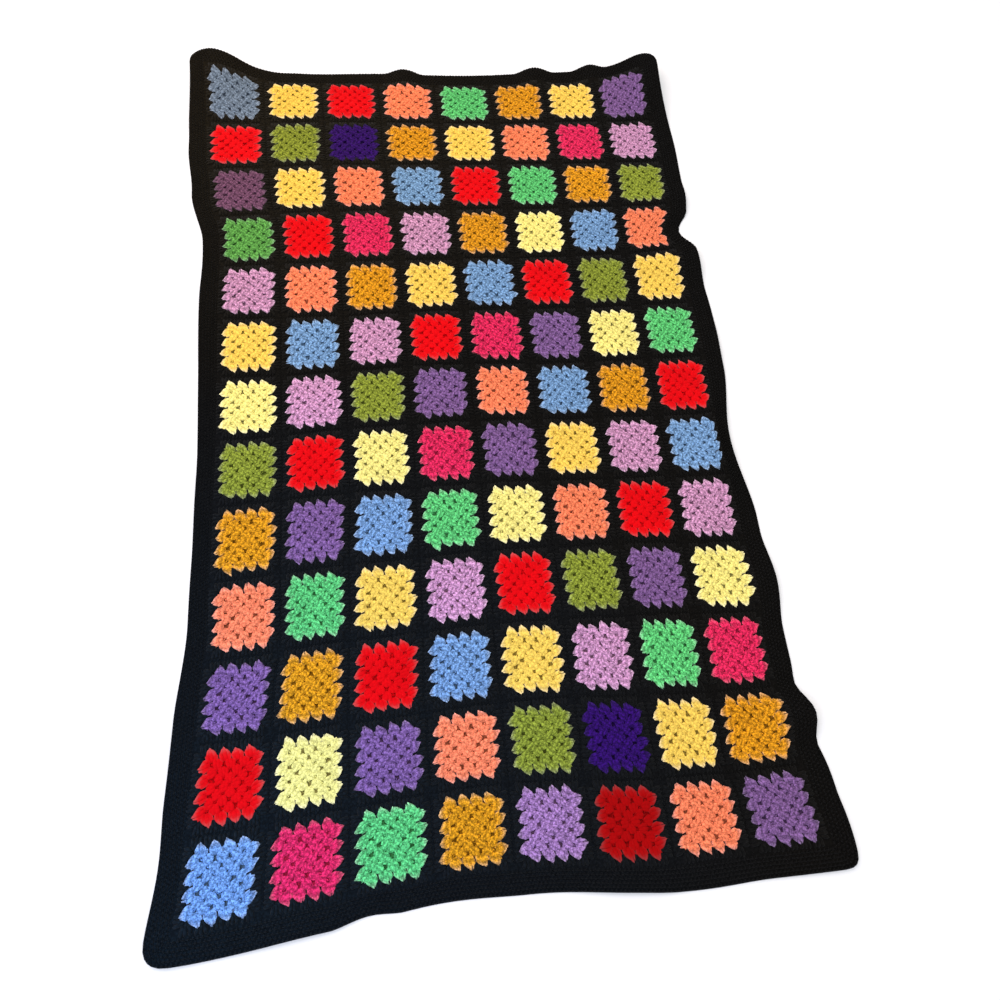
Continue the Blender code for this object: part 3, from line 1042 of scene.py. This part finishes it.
class MakeJoins(bpy.types.Operator):
    """The slanted stitches that join the squares"""

    bl_idname = "blanket.make_joins"
    bl_label = "Joins"

    def execute(self, context):
        random = np.random.default_rng(SEED + 2)
        spacing = settings().sizes.join_spacing
        places = Places()
        for column in range(1, COLUMNS):
            s = column * SQUARE_WIDTH - HALF_WIDTH
            for t in np.arange(-HALF_LENGTH + spacing / 2, HALF_LENGTH, spacing):
                self.join(places, random, lambda x, y: (s + x, t + y))
        for row in range(1, ROWS):
            t = row * SQUARE_LENGTH - HALF_LENGTH
            for s in np.arange(-HALF_WIDTH + spacing / 2, HALF_WIDTH, spacing):
                self.join(places, random, lambda x, y: (s + y, t + x))
        strand = StitchShape(RIDGED, STRAND_STATIONS, STRAND_END)
        piece = stitched_piece("joins", ((strand, places.arrays()),), black_material)
        return {"FINISHED"}

    @staticmethod
    def join(places, random, across):
        """One stitch over a join. across turns x over the join and y along it into a place on the plan."""
        slip = random.normal(0.0, JOIN_STRAY, 3)
        foot = across(-JOIN_REACH, -JOIN_SLANT + slip[0])
        head = across(JOIN_REACH, JOIN_SLANT + slip[1])
        bend = across(slip[2], 0.0)
        high = JOIN_TOP * (1.0 + random.normal(0.0, JOIN_UNEVEN))
        places.add(foot, bend, head, JOIN_HALF_WIDTH, JOIN_FOOT, high, high, random.uniform(*STITCH_TONES))


class MakeEdging(bpy.types.Operator):
    """The rounds of single crochet round the whole blanket"""

    bl_idname = "blanket.make_edging"
    bl_label = "Edging"

    def execute(self, context):
        random = np.random.default_rng(SEED + 3)
        posts, chain = Places(), Places()
        pitch = EDGING_WIDTH / EDGING_ROUNDS
        for number in range(EDGING_ROUNDS):
            start = number * pitch
            for half, to_plan in EDGING_SIDES:
                length = 2.0 * (half + start + pitch / 2)
                count = round(length / settings().sizes.edging_stitch)
                step = length / count
                offset = (number % 2) * step / 2
                for place in range(count):
                    at = -length / 2 + offset + (place + EDGING_START) * step
                    self.stitch(posts, chain, random, step, pitch, lambda x, y: to_plan(at + x, start + y))
        post = StitchShape(RIDGED, EDGING_STATIONS, BLACK_END)
        strand = StitchShape(RIDGED, STRAND_STATIONS, STRAND_END)
        groups = ((post, posts.arrays()), (strand, chain.arrays()))
        piece = stitched_piece("edging_rounds", groups, black_material)
        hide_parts("edging")
        return {"FINISHED"}

    @staticmethod
    def stitch(posts, chain, random, step, pitch, across):
        """One single crochet: its post and its link of chain. across gives a place on the plan."""
        slip = random.normal(0.0, EDGING_STRAY, 4)
        tone = random.uniform(*STITCH_TONES)
        high = EDGING_TOP * (1.0 + random.normal(0.0, EDGING_UNEVEN))
        post_top = EDGING_POST_TOP * high

        def spot(shares, slip_x=0.0, slip_y=0.0):
            return across(shares[0] * step + slip_x, shares[1] * pitch + slip_y)

        foot, bend, head = EDGING_POST
        posts.add(
            spot(foot, slip[0]), spot(bend, slip[1]), spot(head),
            EDGING_POST_WIDTH * step, EDGING_FOOT, post_top, post_top, tone)
        foot, bend, head = EDGING_LINK
        chain.add(
            spot(foot), spot(bend, slip[2], slip[3]), spot(head),
            EDGING_LINK_WIDTH * pitch, EDGING_LINK_FOOT, high, high, tone)


class SetStage(bpy.types.Operator):
    """The pale floor, the soft light and the camera"""

    bl_idname = "blanket.set_stage"
    bl_label = "Stage"

    def execute(self, context):
        stage = settings().stage
        work = bmesh.new()
        bmesh.ops.create_grid(work, x_segments=1, y_segments=1, size=FLOOR_HALF)
        mesh = mesh_from(work, "floor")
        mesh.materials.append(floor_material(stage.floor))
        floor = placed("floor", mesh)
        floor.location.z = -FLOOR_DROP

        world = bpy.data.worlds.new("room")
        world.use_nodes = True
        background = world.node_tree.nodes["Background"]
        background.inputs["Color"].default_value = (*linear(ROOM_COLOUR), 1.0)
        background.inputs["Strength"].default_value = stage.room
        context.scene.world = world

        for name, colour, size, place in LIGHTS:
            light = bpy.data.lights.new(name, "AREA")
            light.shape = "SQUARE"
            light.size = size
            light.energy = getattr(stage, name)
            light.color = linear(colour)
            lamp = placed(name, light)
            lamp.matrix_world = looking(Vector(place), Vector((0.0, 0.0, 0.0)))
            lamp.visible_camera = False

        lens = bpy.data.cameras.new("camera")
        lens.lens = CAMERA_LENS
        lens.sensor_width = CAMERA_SENSOR
        lens.sensor_fit = "HORIZONTAL"
        lens.dof.use_dof = False
        camera = placed("camera", lens)
        right, up = Vector(CAMERA_RIGHT).normalized(), Vector(CAMERA_UP).normalized()
        back = right.cross(up).normalized()
        turn = Matrix((right, back.cross(right), back)).transposed().to_4x4()
        camera.matrix_world = Matrix.Translation(CAMERA_PLACE) @ turn
        context.scene.camera = camera
        context.scene.view_settings.view_transform = "Standard"
        return {"FINISHED"}


class GrannyBlanketPanel(bpy.types.Panel):
    """The blanket's operators and settings"""

    bl_idname = "VIEW3D_PT_granny_blanket"
    bl_label = "Granny Square Blanket"
    bl_space_type = "VIEW_3D"
    bl_region_type = "UI"
    bl_category = "Blanket"

    def draw(self, context):
        for operator in OPERATORS:
            self.layout.operator(operator.bl_idname)
        for group in (settings().sizes, settings().yarns, settings().stage):
            box = self.layout.box()
            for name in group.__annotations__:
                box.prop(group, name)


OPERATORS = (MakeGround, MakeSquares, MakeBlackRounds, MakeJoins, MakeEdging, SetStage)
GROUPS = (BlanketSizes, BlanketYarns, BlanketStage, GrannyBlanketSettings)


def register():
    for group in (*GROUPS, *OPERATORS, GrannyBlanketPanel):
        bpy.utils.register_class(group)
    bpy.types.Scene.granny_blanket = PointerProperty(type=GrannyBlanketSettings)


def unregister():
    del bpy.types.Scene.granny_blanket
    for group in reversed((*GROUPS, *OPERATORS, GrannyBlanketPanel)):
        bpy.utils.unregister_class(group)


def main():
    register()
    for operator in OPERATORS:
        group, name = operator.bl_idname.split(".")
        getattr(getattr(bpy.ops, group), name)()
    stitches = [needed(name) for name in ("black_rounds", "joins", "edging_rounds")]
    stitches += [needed(f"squares_{yarn}") for yarn in YARNS]


if __name__ == "__main__":
    main()
